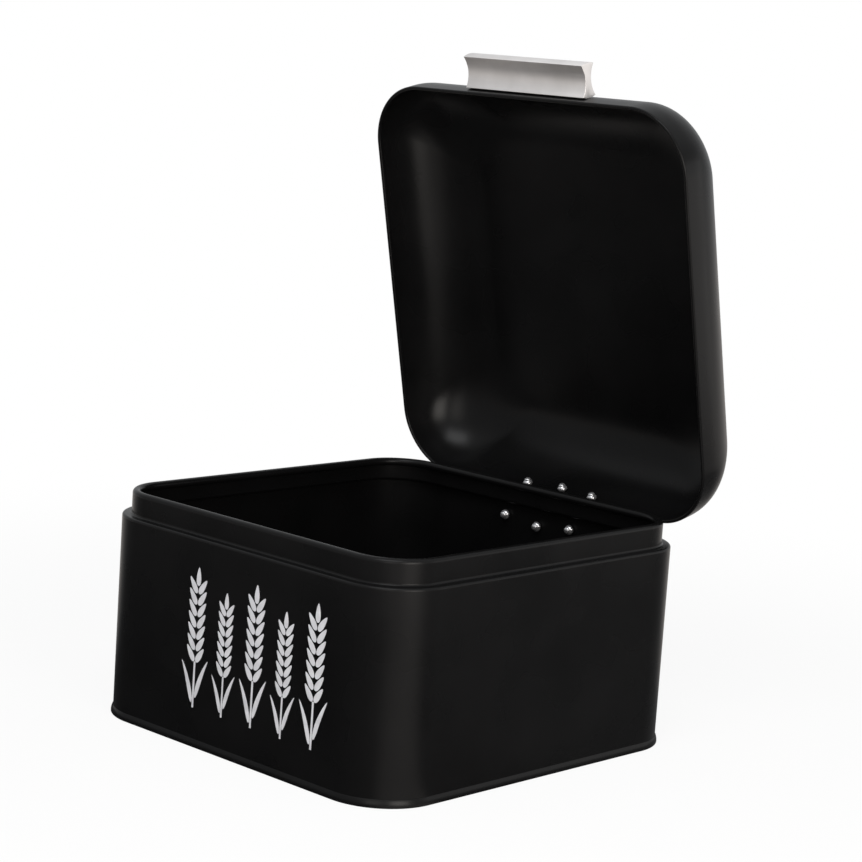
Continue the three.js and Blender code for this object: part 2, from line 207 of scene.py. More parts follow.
def makeFinish(name, look, group, sizes, roughBy):
    # Colour follows the group's patches. Roughness follows the patches or the fine height.
    material, tree, shader = newMaterial(name)
    values = {label: look[key] for label, key in sizes.items()}
    pattern = add(tree, "ShaderNodeGroup", values, node_tree=group).outputs
    patches = mapped(tree, pattern["Patches"], noiseSpan, 0, 1, "LINEAR")
    rough = mapped(tree, pattern[roughBy], noiseSpan, look["smooth"], look["rough"], "LINEAR")
    bump = add(tree, "ShaderNodeBump", {
        "Height": pattern["Height"], "Strength": look["bump"], "Distance": look["depth"] * mm})
    feed(tree, shader.inputs["Base Color"], mixColours(tree, patches, look["dark"], look["light"]))
    feed(tree, shader.inputs["Roughness"], rough)
    feed(tree, shader.inputs["Normal"], bump.outputs["Normal"])
    shader.inputs["Metallic"].default_value = look["metallic"]
    shader.inputs["Specular IOR Level"].default_value = look["gloss"]
    return material


powderCoat = {
    "dark": (0.0032, 0.0032, 0.0033), "light": (0.0045, 0.0044, 0.0046), "smooth": 0.25,
    "rough": 0.31, "metallic": 0, "gloss": 0.11, "peel": 1.4, "grain": 0.3, "grainShare": 0.35,
    "patches": 60, "bump": 0.25, "depth": 0.03,
}
zincPlate = {
    "dark": (0.50, 0.51, 0.53), "light": (0.66, 0.66, 0.67), "smooth": 0.24, "rough": 0.38,
    "metallic": 1, "gloss": 0.5, "line": 0.3, "stretch": 60, "patches": 9, "bump": 0.2,
    "depth": 0.02,
}
satinAluminium = {
    "dark": (0.66, 0.64, 0.63), "light": (0.74, 0.72, 0.71), "smooth": 0.46, "rough": 0.56,
    "metallic": 1, "gloss": 0.5, "line": 0.22, "stretch": 160, "patches": 22, "bump": 0.12,
    "depth": 0.015,
}
brightAluminium = {
    "dark": (0.34, 0.34, 0.35), "light": (0.50, 0.50, 0.51), "smooth": 0.2, "rough": 0.32,
    "metallic": 0.8, "gloss": 0.5, "line": 0.5, "stretch": 1, "patches": 2.5, "bump": 0.15,
    "depth": 0.04,
}
printInk = {
    "dark": (0.52, 0.52, 0.545), "light": (0.60, 0.60, 0.625), "smooth": 0.45, "rough": 0.58,
    "metallic": 0, "gloss": 0.5, "peel": 0.9, "grain": 0.22, "grainShare": 0.6, "patches": 7,
    "bump": 0.2, "depth": 0.02,
}

grainGroup = makeGrainGroup()
linesGroup = makeLinesGroup()
grainSizes = {"Peel Size": "peel", "Grain Size": "grain", "Grain Share": "grainShare",
              "Patch Size": "patches"}
lineSizes = {"Line Size": "line", "Stretch": "stretch", "Patch Size": "patches"}
paint = makeFinish("blackPowderCoat", powderCoat, grainGroup, grainSizes, "Patches")
zinc = makeFinish("zincPlate", zincPlate, linesGroup, lineSizes, "Height")
satin = makeFinish("satinAluminium", satinAluminium, linesGroup, lineSizes, "Height")
bright = makeFinish("brightAluminium", brightAluminium, linesGroup, lineSizes, "Height")
ink = makeFinish("whitePrint", printInk, grainGroup, grainSizes, "Patches")
print("materials made")


# Meshes: how each is made, closed and placed
weldGap, sharpAngle = 0.001, 32


def meshFrom(name, points, edges=(), faces=(), attributes=None):
    mesh = bpy.data.meshes.new(name)
    mesh.from_pydata(points, edges, faces)
    for label, values in (attributes or {}).items():
        mesh.attributes.new(label, "FLOAT", "POINT").data.foreach_set("value", values)
    return mesh


def newObject(name, mesh):
    piece = bpy.data.objects.new(name, mesh)
    scene.collection.objects.link(piece)
    return piece


def addTree(piece, tree, values):
    modifier = piece.modifiers.new(tree.name, "NODES")
    modifier.node_group = tree
    for socket in tree.interface.items_tree:
        if socket.item_type == "SOCKET" and socket.in_out == "INPUT" and socket.name in values:
            modifier[socket.identifier] = values[socket.name]


def bevel(piece, size):
    edges = piece.modifiers.new("edges", "BEVEL")
    edges.width, edges.segments = size["bevel"] * mm, size["bevelSegments"]
    edges.limit_method, edges.angle_limit = "ANGLE", math.radians(size["bevelAngle"])


def settle(piece, place=None):
    # Makes the piece the plain mesh of its modifiers, closed, facing out and in its place
    graph = bpy.context.evaluated_depsgraph_get()
    mesh = bpy.data.meshes.new_from_object(piece.evaluated_get(graph), depsgraph=graph)
    piece.modifiers.clear()
    piece.data = mesh
    work = bmesh.new()
    work.from_mesh(mesh)
    bmesh.ops.remove_doubles(work, verts=work.verts, dist=weldGap * mm)
    rims = [edge for edge in work.edges if edge.is_boundary]
    holes = bmesh.ops.holes_fill(work, edges=rims, sides=0)
    bmesh.ops.triangulate(work, faces=[face for face in holes["faces"] if len(face.verts) > 4])
    bmesh.ops.recalc_face_normals(work, faces=work.faces)
    for face in work.faces:
        face.smooth = True
    work.to_mesh(mesh)
    work.free()
    mesh.set_sharp_from_angle(angle=math.radians(sharpAngle))
    if place:
        mesh.transform(place)
    return piece


def finish(piece, body, slot, *nodes):
    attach(piece, body)
    if nodes:
        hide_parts(*nodes)


def arc(middleX, middleY, radius, start, end, steps):
    turns = [math.radians(start + (end - start) * step / steps) for step in range(steps + 1)]
    return [(middleX + radius * math.cos(turn), middleY + radius * math.sin(turn))
            for turn in turns]


def attribute(tree, name):
    node = add(tree, "GeometryNodeInputNamedAttribute", {"Name": name}, data_type="FLOAT")
    return node.outputs["Attribute"]


def join(tree, *parts):
    node = add(tree, "GeometryNodeJoinGeometry")
    for part in parts:
        tree.links.new(part, node.inputs[0])
    return node.outputs[0]


def instances(tree, points, shape, **inputs):
    return add(tree, "GeometryNodeInstanceOnPoints", {
        "Points": points, "Instance": shape, **inputs}).outputs[0]


def endTree(tree, shape, given, out):
    # Every shape's tree ends alike: its instances are made real, and get their material
    real = add(tree, "GeometryNodeRealizeInstances", {"Geometry": shape})
    dressed = add(tree, "GeometryNodeSetMaterial", {
        "Geometry": real.outputs[0], "Material": given["Material"]})
    feed(tree, out["Geometry"], dressed.outputs[0])
    return tree


# Pressed and turned pieces: a section swept round a rectangle with round corners. The section's
# points carry their inset from that plan, their height and their own corner radius.
def makeSweepTree():
    tree, given, out = newTree("GeometryNodeTree", "sweptSection", {
        "Geometry": ["Geometry"], "Float": ["Width", "Depth", "Corner Radius"],
        "Int": ["Corner Steps", "Edge Cuts"], "Material": ["Material"],
    }, {"Geometry": ["Geometry"]})
    plan = add(tree, "GeometryNodeCurvePrimitiveQuadrilateral", {
        "Width": given["Width"], "Height": given["Depth"]})
    rounded = add(tree, "GeometryNodeFilletCurve", {
        "Curve": plan.outputs["Curve"], "Count": given["Corner Steps"],
        "Radius": given["Corner Radius"],
    }, mode="POLY")
    path = add(tree, "GeometryNodeSubdivideCurve", {
        "Curve": rounded.outputs[0], "Cuts": given["Edge Cuts"]})
    keep = add(tree, "GeometryNodeCaptureAttribute", {"Geometry": path.outputs[0]})
    keep.capture_items.new("VECTOR", "planPoint")
    feed(tree, keep.inputs["planPoint"], add(tree, "GeometryNodeInputPosition").outputs[0])
    section = add(tree, "GeometryNodeMeshToCurve", {"Mesh": given["Geometry"]})
    swept = add(tree, "GeometryNodeCurveToMesh", {
        "Curve": keep.outputs["Geometry"], "Profile Curve": section.outputs[0]})

    half = scaled(tree, combine(tree, given["Width"], given["Depth"], 0), 0.5)
    radius = combine(tree, given["Corner Radius"], given["Corner Radius"], 0)
    inner = vector(tree, "SUBTRACT", half, radius)
    planPoint = keep.outputs["planPoint"]
    centre = vector(tree, "MAXIMUM", vector(tree, "MINIMUM", planPoint, inner),
                    vector(tree, "MULTIPLY", inner, (-1, -1, -1)))
    outwards = vector(tree, "NORMALIZE", vector(tree, "SUBTRACT", planPoint, centre))
    corner = attribute(tree, "corner")
    drawnIn = number(tree, "ADD", attribute(tree, "inset"), corner)
    newInner = vector(tree, "SUBTRACT", half, combine(tree, drawnIn, drawnIn, 0))
    newCentre = vector(tree, "MULTIPLY", centre, vector(tree, "DIVIDE", newInner, inner))
    place = vector(tree, "ADD", vector(tree, "ADD", newCentre, scaled(tree, outwards, corner)),
                   combine(tree, 0, 0, attribute(tree, "rise")))
    moved = add(tree, "GeometryNodeSetPosition", {"Geometry": swept.outputs[0], "Position": place})
    return endTree(tree, moved.outputs[0], given, out)


sweepTree = makeSweepTree()


def sweep(name, stations, plan, material, closed=True):
    # A station is (inset, rise, corner radius), in millimetres.
    insets, rises, corners = ([value * mm for value in values] for values in zip(*stations))
    count = len(stations)
    edges = [(at, (at + 1) % count) for at in range(count if closed else count - 1)]
    points = [(inset, rise, 0) for inset, rise in zip(insets, rises)]
    piece = newObject(name, meshFrom(name, points, edges, (), {
        "inset": insets, "rise": rises, "corner": corners}))
    addTree(piece, sweepTree, {
        "Width": plan["width"] * mm, "Depth": plan["depth"] * mm,
        "Corner Radius": plan["corner"] * mm, "Corner Steps": plan["steps"],
        "Edge Cuts": plan["cuts"], "Material": material,
    })
    return piece


# Box wall and floor. A ring is an extra row of points that keeps the shading flat beside a bend.
sheet = 0.6
box = {
    "width": 300, "depth": 307.3, "corner": 44, "steps": 16, "cuts": 2, "shoulder": 146.2,
    "shoulderRound": 1.8, "neckTop": 163.7, "neckStep": 6.6, "neckFillet": 1.5, "lipRadius": 3,
    "lipTurn": 300, "seamLayer": 0.75, "hook": 1.7, "seatGap": 0.1, "holeGap": 0.15, "ring": 0.5,
    "bendSteps": 8, "lipSteps": 40,
}
floorTray = {
    "rise": 5, "bend": 1.2, "legRound": 0.6, "beadFoot": 0.8, "beadWidest": 1, "beadRound": 9.2,
    "flatInset": 138, "flatCorner": 6, "panelRing": 30, "bendRing": 0.4, "legRing": 0.3,
    "bendSteps": 6, "legSteps": 5, "footSteps": 10, "beadSteps": 16, "beadInnerSteps": 10,
}


def parallelStations(points, corner):
    return [(inset, rise, corner - inset) for inset, rise in points]


def makeBoxWall(size):
    step, fillet, lip = size["neckStep"], size["neckFillet"], size["lipRadius"]
    lipX, lipZ, lipEnd = step + lip, size["neckTop"] - lip, 180 - size["lipTurn"]
    turnX, turnZ = size["shoulderRound"], size["shoulder"] - size["shoulderRound"]
    filletX, filletZ = step - fillet, size["shoulder"] + fillet
    layer, gap, ring, hook = size["seamLayer"], size["holeGap"], size["ring"], size["hook"]
    bends, lips = size["bendSteps"], size["lipSteps"]
    outside = [
        (-layer, layer), (-layer, layer + hook), (-gap, layer + hook),
        (-gap, layer + sheet), (0, layer + sheet), (0, turnZ - ring),
        *arc(turnX, turnZ, turnX, 180, 90, bends), *arc(filletX, filletZ, fillet, -90, 0, bends),
        (step, filletZ + ring), (step, lipZ - ring), *arc(lipX, lipZ, lip, 180, lipEnd, lips),
    ]
    inside = [
        *arc(lipX, lipZ, lip - sheet, lipEnd, 180, lips), (step + sheet, lipZ - ring),
        *arc(filletX, filletZ, fillet + sheet, 0, -90, bends),
        *arc(turnX, turnZ, turnX - sheet, 90, 180, bends), (sheet, turnZ - ring),
        (sheet, layer + sheet), (sheet, layer),
    ]
    wall = sweep("boxWall", parallelStations(outside + inside, size["corner"]), size, paint)
    finish(settle(wall, boxPlace), "box", "paint", "base_wall")


def makeBoxFloor(size, tray):
    layer = size["seamLayer"]
    out, leg = 2 * layer, layer + sheet
    turn, foot, bend, bends = (tray[key] for key in ("legRound", "beadFoot", "bend", "bendSteps"))
    under, above = tray["rise"] - sheet, tray["rise"]
    panel, flatRing = leg + tray["panelRing"], bend + tray["bendRing"]
    # The seam's bead bellies out from the wall, widest near its foot.
    belly = tray["beadRound"]
    beadX = belly - out

    def bead(radius, steps):
        end = math.degrees(math.acos((beadX + size["holeGap"]) / radius))
        return arc(beadX, tray["beadWidest"], radius, 180, 180 - end, steps)

    rim = [
        (panel, under), (leg + flatRing, under),
        *arc(leg + bend, under - bend, bend, 90, 180, bends),
        *arc(leg - turn, turn, turn, 0, -90, tray["legSteps"]),
        *arc(foot - out, foot, foot, -90, -180, tray["footSteps"]),
        *bead(belly, tray["beadSteps"]), *reversed(bead(belly - sheet, tray["beadInnerSteps"])),
        (sheet - out, sheet), (layer, sheet), (layer, above - bend - tray["legRing"]),
        *arc(layer + bend, above - bend, bend, 180, 90, bends), (layer + flatRing, above),
        (panel, above),
    ]
    inset, corner = tray["flatInset"], tray["flatCorner"]
    stations = [(inset, under, corner), *parallelStations(rim, size["corner"]),
                (inset, above, corner)]
    floor = sweep("boxFloor", stations, size, paint, closed=False)
    finish(settle(floor, boxPlace), "box", "paint", "base_floor")


makeBoxWall(box)
makeBoxFloor(box, floorTray)
print("box made")


# Lid: a deep pressing with a rolled hem
lid = {
    "overhang": 1.45, "corner": 47.8, "cornerShare": 0.12, "skirt": 10.6, "skirtRing": 1,
    "crown": 52.8, "hemRadius": 1.4, "hemTurn": 255, "rimGap": 0.9, "crownSteps": 36,
    "hemSteps": 24, "flatShares": (0.96, 0.8, 0.5, 0.2),
}
rim = box["shoulder"] + lid["rimGap"]
lidPlan = {**box, "corner": lid["corner"], "width": box["width"] + 2 * lid["overhang"],
           "depth": box["depth"] + 2 * lid["overhang"]}
lidBack = lidPlan["depth"] / 2


def makeLidShell(size):
    skirt, crown, hem = size["skirt"], size["crown"], size["hemRadius"]

    def station(outerInset, depth, rise):
        corner = size["corner"] - size["cornerShare"] * outerInset - depth
        return outerInset + depth, rim + rise, corner

    def crownArc(radius):
        return arc(crown, skirt, radius, 180, 90, size["crownSteps"])

    def hemArc(radius, start, end):
        return [station(0, inset, rise) for inset, rise
                in arc(hem, hem, radius, start, end, size["hemSteps"])]

    ringRise, hemEnd = skirt - size["skirtRing"], 180 + size["hemTurn"]
    outer = [station(inset, 0, rise) for inset, rise in [(0, ringRise), *crownArc(crown)]]
    inner = [station(outside, inset - outside, rise) for (outside, _), (inset, rise)
             in zip(crownArc(crown), crownArc(crown - sheet))]
    halfWidth, top, topCorner = lidPlan["width"] / 2, rim + (skirt + crown), outer[-1][2]
    flat = [(halfWidth - (halfWidth - crown) * share, topCorner * share)
            for share in size["flatShares"]]
    flatOut = [(inset, top, corner) for inset, corner in flat]
    flatIn = [(inset, top - sheet, corner) for inset, corner in reversed(flat)]
    stations = [*flatIn, *reversed(inner), station(0, sheet, ringRise),
                *hemArc(hem - sheet, 180, hemEnd), *hemArc(hem, hemEnd, 180), *outer, *flatOut]
    shell = sweep("lidShell", stations, lidPlan, paint, closed=False)
    finish(settle(shell, lidPlace), "lid", "paint", "lid_shell")


def lidFace(height, out=0):
    # The lid's outside at a height above the rim: how far it is drawn in, and how far it leans
    reach = lid["crown"] + out
    lean = math.asin(max(height - lid["skirt"], 0) / reach)
    return lid["crown"] - reach * math.cos(lean), lean


makeLidShell(lid)
print("lid made")


# Hinge: two cranked leaves curled round one pin
hingeSize = {
    "out": 9.57, "drop": 2, "sheet": 1, "width": 84, "bend": 2.2, "pin": 1.5, "pinGap": 0.3,
    "pinProud": 0.7, "pinDome": 0.5, "knuckles": 5, "knuckleGap": 0.4, "curlTurn": 262,
    "clearRun": 2.9, "boxCrank": 10, "lidCrank": 32.4, "boxRivetDrop": 11.2, "lidRivetRise": 11.3,
    "stagger": 3.6, "edge": 9.5, "margin": 7, "bevel": 0.18, "bevelAngle": 50,
    "bevelSegments": 2, "curlSteps": 28, "bendSteps": 8, "plateSteps": 8, "edgeSteps": 8,
    "halfSteps": 12, "domeSteps": 6, "pinSteps": 10,
}
pinY = box["depth"] / 2 + hingeSize["out"]
pinZ = box["shoulder"] - hingeSize["drop"]
curlRadius = hingeSize["pin"] + hingeSize["pinGap"] + hingeSize["sheet"] / 2
rivetX = hingeSize["width"] / 2 - hingeSize["edge"]
poleRadius = 0.02  # a turned piece starts and ends this close to its axis


def leafColumns(size):
    # Places across the leaf: the ends of each knuckle, round corners, and even steps between
    half, pitch, gap = size["width"] / 2, size["width"] / size["knuckles"], size["knuckleGap"] / 2
    edgeSteps, halfSteps = size["edgeSteps"], size["halfSteps"]
    ends = [sign * gap + at * pitch - half for at in range(1, size["knuckles"]) for sign in (-1, 1)]
    corners = [size["edge"] * (step / edgeSteps) ** 2 - half for step in range(edgeSteps + 1)]
    steps = [step * rivetX / halfSteps for step in range(-halfSteps, halfSteps + 1)]
    return sorted({round(x, 4) for x in [*ends, *corners, *(-x for x in corners), *steps]})


def hasKnuckle(x, size, parity):
    # Knuckles of the two leaves take turns, and each ends half a gap short of its neighbour.
    pitch = size["width"] / size["knuckles"]
    at = (x + size["width"] / 2) / pitch
    fromEnd = min(at % 1, 1 - at % 1) * pitch
    return int(at) % 2 == parity and fromEnd > size["knuckleGap"] / 4


def edgeHeight(x, size, outerZ, middleZ, sign):
    # Height of the plate's free edge: round corners, and a bow round the middle rivet
    half, edge = size["width"] / 2, size["edge"]
    edgeZ = outerZ + sign * size["margin"]
    fromSide = half - abs(x)
    if fromSide < edge:
        return edgeZ - sign * edge * (1 - math.sqrt(fromSide / edge)) ** 2
    along = (x / (half - edge) + 1) / 2
    bow = middleZ + sign * (size["margin"] + size["stagger"])
    return edgeZ * ((1 - along) ** 2 + along ** 2) + bow * 2 * along * (1 - along)


def makeLeaf(name, size, sign, crank, parity, faceY, outerZ, middleZ):
    # The blank's rows follow the leaf's middle line from the curl to the plate's free edge.
    start = math.radians(crank - 90) if sign < 0 else math.radians(90 - crank)
    turn = math.radians(size["curlTurn"]) * -sign
    curlSteps, bendSteps, plateSteps = size["curlSteps"], size["bendSteps"], size["plateSteps"]
    curlTurns = [start + turn * (1 - step / curlSteps) for step in range(curlSteps + 1)]
    curlRows = [(pinY + curlRadius * math.cos(at), pinZ + curlRadius * math.sin(at))
                for at in curlTurns]
    tangent = Vector(curlRows[-1])
    run = Vector((-math.sin(start), math.cos(start))) * sign
    curlRows += [tuple(tangent + run * size["clearRun"] * share) for share in (0.5, 1)]

    # The run meets the sloping plate at a height that a few rounds settle.
    bendAt = tangent
    for _ in range(5):
        bendAt = tangent + run * ((faceY(bendAt.y) - tangent.x) / run.x)
    bendStart = bendAt - run * size["bend"]
    bendEndZ = bendAt.y + sign * size["bend"]
    bendEnd = Vector((faceY(bendEndZ), bendEndZ))
    bendRows = [tuple(bendStart.lerp(bendAt, share).lerp(bendAt.lerp(bendEnd, share), share))
                for share in (step / bendSteps for step in range(bendSteps + 1))]

    columns = leafColumns(size)
    points, faces = [], []
    for x in columns:
        edge = edgeHeight(x, size, outerZ, middleZ, sign)
        plateZs = [bendEndZ + (edge - bendEndZ) * step / plateSteps
                   for step in range(1, plateSteps + 1)]
        rows = [*curlRows, *bendRows, *((faceY(z), z) for z in plateZs)]
        points += [(x * mm, y * mm, z * mm) for y, z in rows]
    count = len(rows)
    for column in range(len(columns) - 1):
        knuckle = hasKnuckle((columns[column] + columns[column + 1]) / 2, size, parity)
        for row in range(0 if knuckle else len(curlRows) - 1, count - 1):
            at = column * count + row
            faces.append((at, at + count, at + count + 1, at + 1))
    mesh = meshFrom(name, points, (), faces)
    work = bmesh.new()
    work.from_mesh(mesh)
    loose = [vert for vert in work.verts if not vert.link_faces]
    bmesh.ops.delete(work, geom=loose, context="VERTS")
    work.to_mesh(mesh)
    work.free()
    mesh.materials.append(zinc)
    leaf = newObject(name, mesh)
    thick = leaf.modifiers.new("thickness", "SOLIDIFY")
    thick.thickness, thick.offset, thick.use_even_offset = size["sheet"] * mm, 0, True
    bevel(leaf, size)
    return leaf


def makeLeaves(size):
    out = box["seatGap"] + size["sheet"] / 2
    boxZ = box["shoulder"] - size["boxRivetDrop"]
    boxLeaf = makeLeaf("hingeLeafBox", size, -1, size["boxCrank"], 0,
                       lambda z: box["depth"] / 2 + out, boxZ, boxZ - size["stagger"])
    lidZ = rim + size["lidRivetRise"]
    lidLeaf = makeLeaf("hingeLeafLid", size, 1, size["lidCrank"], 1,
                       lambda z: lidBack - lidFace(z - rim, out)[0], lidZ, lidZ + size["stagger"])
    finish(settle(boxLeaf, boxPlace), "box", "steel", "hinge_leaf_base")
    finish(settle(lidLeaf, lidPlace), "lid", "steel", "hinge_leaf_lid")


def turned(name, profile, material, steps=8):
    # A turned piece about Z: (radius, height) pairs, swept round a plan that is all corner
    widest = max(radius for radius, _ in profile)
    stations = [(widest - radius, height, radius) for radius, height in profile]
    plan = {"width": 2 * widest, "depth": 2 * widest, "corner": widest, "steps": steps, "cuts": 0}
    return sweep(name, stations, plan, material, closed=False)


def makePin(size):
    half, dome = size["width"] / 2 + size["pinProud"], size["pinDome"]
    end = arc(size["pin"] - dome, half - dome, dome, 0, 90, size["domeSteps"])
    profile = [(poleRadius, half), *reversed(end), *((r, -z) for r, z in end), (poleRadius, -half)]
    along = Matrix.Translation((0, pinY * mm, pinZ * mm)) @ Matrix.Rotation(math.pi / 2, 4, "Y")
    pin = turned("hingePin", profile, zinc, size["pinSteps"])
    finish(settle(pin, boxPlace @ along), "box", "steel", "hinge_pin")


makeLeaves(hingeSize)
makePin(hingeSize)
print("hinge made")


# Blind rivets, three through the box wall and three through the lid. The bulb is part of a sine,
# raised to a power that makes it round, from where it leaves the sheet to the mandrel's head.
rivet = {
    "shank": 2, "head": 3.6, "headRise": 1.1, "bulb": 3.8, "bulbLength": 4.3, "bulbGap": 0.3,
    "bulbStart": 0.24, "bulbSpan": 0.6, "bulbPower": 0.7, "bore": 1.1, "mandrel": 0.9,
    "mandrelHead": 2.6, "mandrelLength": 1.7, "mandrelSink": 0.4, "groove": 0.3, "domeSteps": 10,
    "bulbSteps": 14,
}
grip = hingeSize["sheet"] + 2 * box["seatGap"] + sheet
capTurns = [math.radians(turn) for turn in range(0, 90, 10)]  # a quarter turn, for round ends


def makeRowTree():
    # Sets a template on each point of the piece, turned about X by the point's lean
    tree, given, out = newTree("GeometryNodeTree", "rivetRow", {
        "Geometry": ["Geometry"], "Object": ["Template"], "Material": ["Material"],
    }, {"Geometry": ["Geometry"]})
    shape = add(tree, "GeometryNodeObjectInfo", {"Object": given["Template"]})
    lean = combine(tree, attribute(tree, "lean"), 0, 0)
    turn = add(tree, "FunctionNodeEulerToRotation", {0: lean})
    row = instances(tree, given["Geometry"], shape.outputs["Geometry"], Rotation=turn.outputs[0])
    return endTree(tree, row, given, out)


def rivetTemplate(size):
    # Drawn along +Z outwards from the leaf: dome, shank, set bulb, and the mandrel's head and stem
    seat, bore, shank = box["seatGap"], size["bore"], size["shank"]
    neck, end = -grip - size["bulbGap"], -grip - size["bulbLength"]
    top = size["headRise"] - size["mandrelSink"]
    domeShares = [step / size["domeSteps"] for step in range(size["domeSteps"] + 1)]
    dome = [(bore + (size["head"] - bore) * share,
             seat + size["headRise"] * math.sqrt(1 - share ** 2)) for share in domeShares]
    # The bulb closes to a narrow groove under the mandrel's head.
    bulb = []
    for share in (step / size["bulbSteps"] for step in range(size["bulbSteps"] + 1)):
        turn = math.pi * (size["bulbStart"] + size["bulbSpan"] * share)
        radius = size["bulb"] * math.sin(turn) ** size["bulbPower"]
        bulb.append((max(radius, size["mandrelHead"] - size["groove"]),
                     neck - (neck - end) * share))
    tube = [(bore, top), *dome, (shank, seat), (shank, neck), *bulb, (bore, end)]
    body = turned("rivetBody", tube, bright)
    headZ, rise, mandrel = end - seat, size["mandrelLength"], size["mandrel"]
    cap = [(size["mandrelHead"] * math.cos(turn), headZ - rise * math.sin(turn))
           for turn in capTurns]
    stem = turned("rivetStem", [(poleRadius, top), (mandrel, top), (mandrel, headZ), *cap,
                                (poleRadius, headZ - rise)], bright)
    settle(body)
    settle(stem)
    work = bmesh.new()
    work.from_mesh(body.data)
    work.from_mesh(stem.data)
    work.to_mesh(body.data)
    work.free()
    bpy.data.objects.remove(stem)
    body.data.transform(Matrix.Rotation(-math.pi / 2, 4, "X"))
    return body


def makeRivets(name, body, side, places, place):
    points = [(x * mm, y * mm, z * mm) for x, y, z, _ in places]
    row = newObject(name, meshFrom(name, points, (), (), {"lean": [lean for *_, lean in places]}))
    addTree(row, rowTree, {"Template": template, "Material": bright})
    nodes = [f"{kind}_{side}_{at}" for kind in ("rivet", "mandrel")
             for at in ("left", "middle", "right")]
    finish(settle(row, place), body, "steel", *nodes)


def rivetPlaces(size):
    # The middle rivet of each row stands further from the pin than the outer two.
    out = box["seatGap"] + size["sheet"]
    boxRow, lidRow = [], []
    for x, further in ((-rivetX, 0), (0, size["stagger"]), (rivetX, 0)):
        boxRow.append((x, box["depth"] / 2 + out,
                       box["shoulder"] - size["boxRivetDrop"] - further, 0))
        height = size["lidRivetRise"] + further
        inset, lean = lidFace(height)
        lidRow.append((x, lidBack - inset + out * math.cos(lean),
                       rim + height + out * math.sin(lean), lean))
    return boxRow, lidRow


rowTree = makeRowTree()
template = rivetTemplate(rivet)
boxRow, lidRow = rivetPlaces(hingeSize)
makeRivets("boxRivets", "box", "base", boxRow, boxPlace)
makeRivets("lidRivets", "lid", "lid", lidRow, lidPlace)
bpy.data.objects.remove(template)
print("rivets made")


# Handle and its screws
grab = {
    "length": 114.6, "reach": 25.6, "thickness": 13.4, "waist": 6, "bow": 1.25, "rise": 6.2,
    "steps": 28, "bevel": 0.25, "bevelAngle": 30, "bevelSegments": 3, "screwSpacing": 76,
}
screw = {
    "radius": 1.9, "depth": 10, "tipShare": 0.2, "head": 3.9, "headRise": 2.2, "domeShare": 0.6,
    "slot": 1, "slotDepth": 1.1, "slotOver": 1,
}


def bowed(start, end, bow, steps):
    # From one corner to just before the next, bowed aside by a parabola
    way = Vector(end) - Vector(start)
    aside = Vector((-way.y, way.x)).normalized() * bow
    return [tuple(Vector(start) + way * share + aside * (1 - (2 * share - 1) ** 2))
            for share in (step / steps for step in range(steps))]


def makeHandle(size):
    # Section: an hourglass whose tip and foot both bow outwards
    low, high, bow = size["rise"], size["rise"] + size["thickness"], size["bow"]
    tip = -lidBack - size["reach"] + bow
    foot = -lidBack + lidFace((low + high) / 2)[0] - box["seatGap"] - bow
    hollow = (size["waist"] - size["thickness"]) / 2
    corners = [(tip, low), (tip, high), (foot, high), (foot, low)]
    outline = [point for at, aside in enumerate((bow, hollow, bow, hollow))
               for point in bowed(corners[at], corners[(at + 1) % 4], aside, size["steps"])]
    count, half = len(outline), size["length"] / 2
    points = [(x * mm, y * mm, (rim + z) * mm) for x in (-half, half) for y, z in outline]
    faces = [tuple(range(count)), tuple(range(2 * count - 1, count - 1, -1))]
    faces += [(at, at + count, (at + 1) % count + count, (at + 1) % count) for at in range(count)]
    mesh = meshFrom("handle", points, (), faces)
    mesh.materials.append(satin)
    piece = newObject("pullHandle", mesh)
    bevel(piece, size)
    finish(settle(piece, lidPlace), "lid", "aluminium", "handle")


def boxMesh(low, high):
    points = [(x * mm, y * mm, z * mm) for x in (low[0], high[0]) for y in (low[1], high[1])
              for z in (low[2], high[2])]
    faces = [(0, 1, 3, 2), (4, 6, 7, 5), (0, 4, 5, 1), (2, 3, 7, 6), (0, 2, 6, 4), (1, 5, 7, 3)]
    return points, (), faces


def makeScrew(name, node, x, size):
    middle = grab["rise"] + grab["thickness"] / 2
    radius, head, rise = size["radius"], size["head"], size["headRise"]
    under = -lidBack + lidFace(middle + head)[0] + sheet + box["seatGap"]
    top, end, tip = under + rise, -lidBack - size["depth"], radius * size["tipShare"]
    dome = [(head * math.cos(turn), top - rise * size["domeShare"] * (1 - math.sin(turn)))
            for turn in capTurns]
    profile = [(poleRadius, end), (radius - tip, end), (radius, end + tip), (radius, under),
               (head, under), *dome, (poleRadius, top)]
    piece = settle(turned(name, profile, zinc), Matrix.Rotation(-math.pi / 2, 4, "X"))
    reach, half = head + size["slotOver"], size["slot"] / 2
    cutter = newObject("slotCutter", meshFrom("slotCutter", *boxMesh(
        (-reach, top - size["slotDepth"], -half), (reach, top + size["slotOver"], half))))
    slot = piece.modifiers.new("slot", "BOOLEAN")
    slot.operation, slot.object, slot.solver = "DIFFERENCE", cutter, "EXACT"
    settle(piece, lidPlace @ Matrix.Translation((x * mm, 0, (rim + middle) * mm)))
    bpy.data.objects.remove(cutter)
    finish(piece, "lid", "steel", node)


makeHandle(grab)
makeScrew("handleScrewLeft", "handle_screw_left", -grab["screwSpacing"] / 2, screw)
makeScrew("handleScrewRight", "handle_screw_right", grab["screwSpacing"] / 2, screw)
print("handle made")


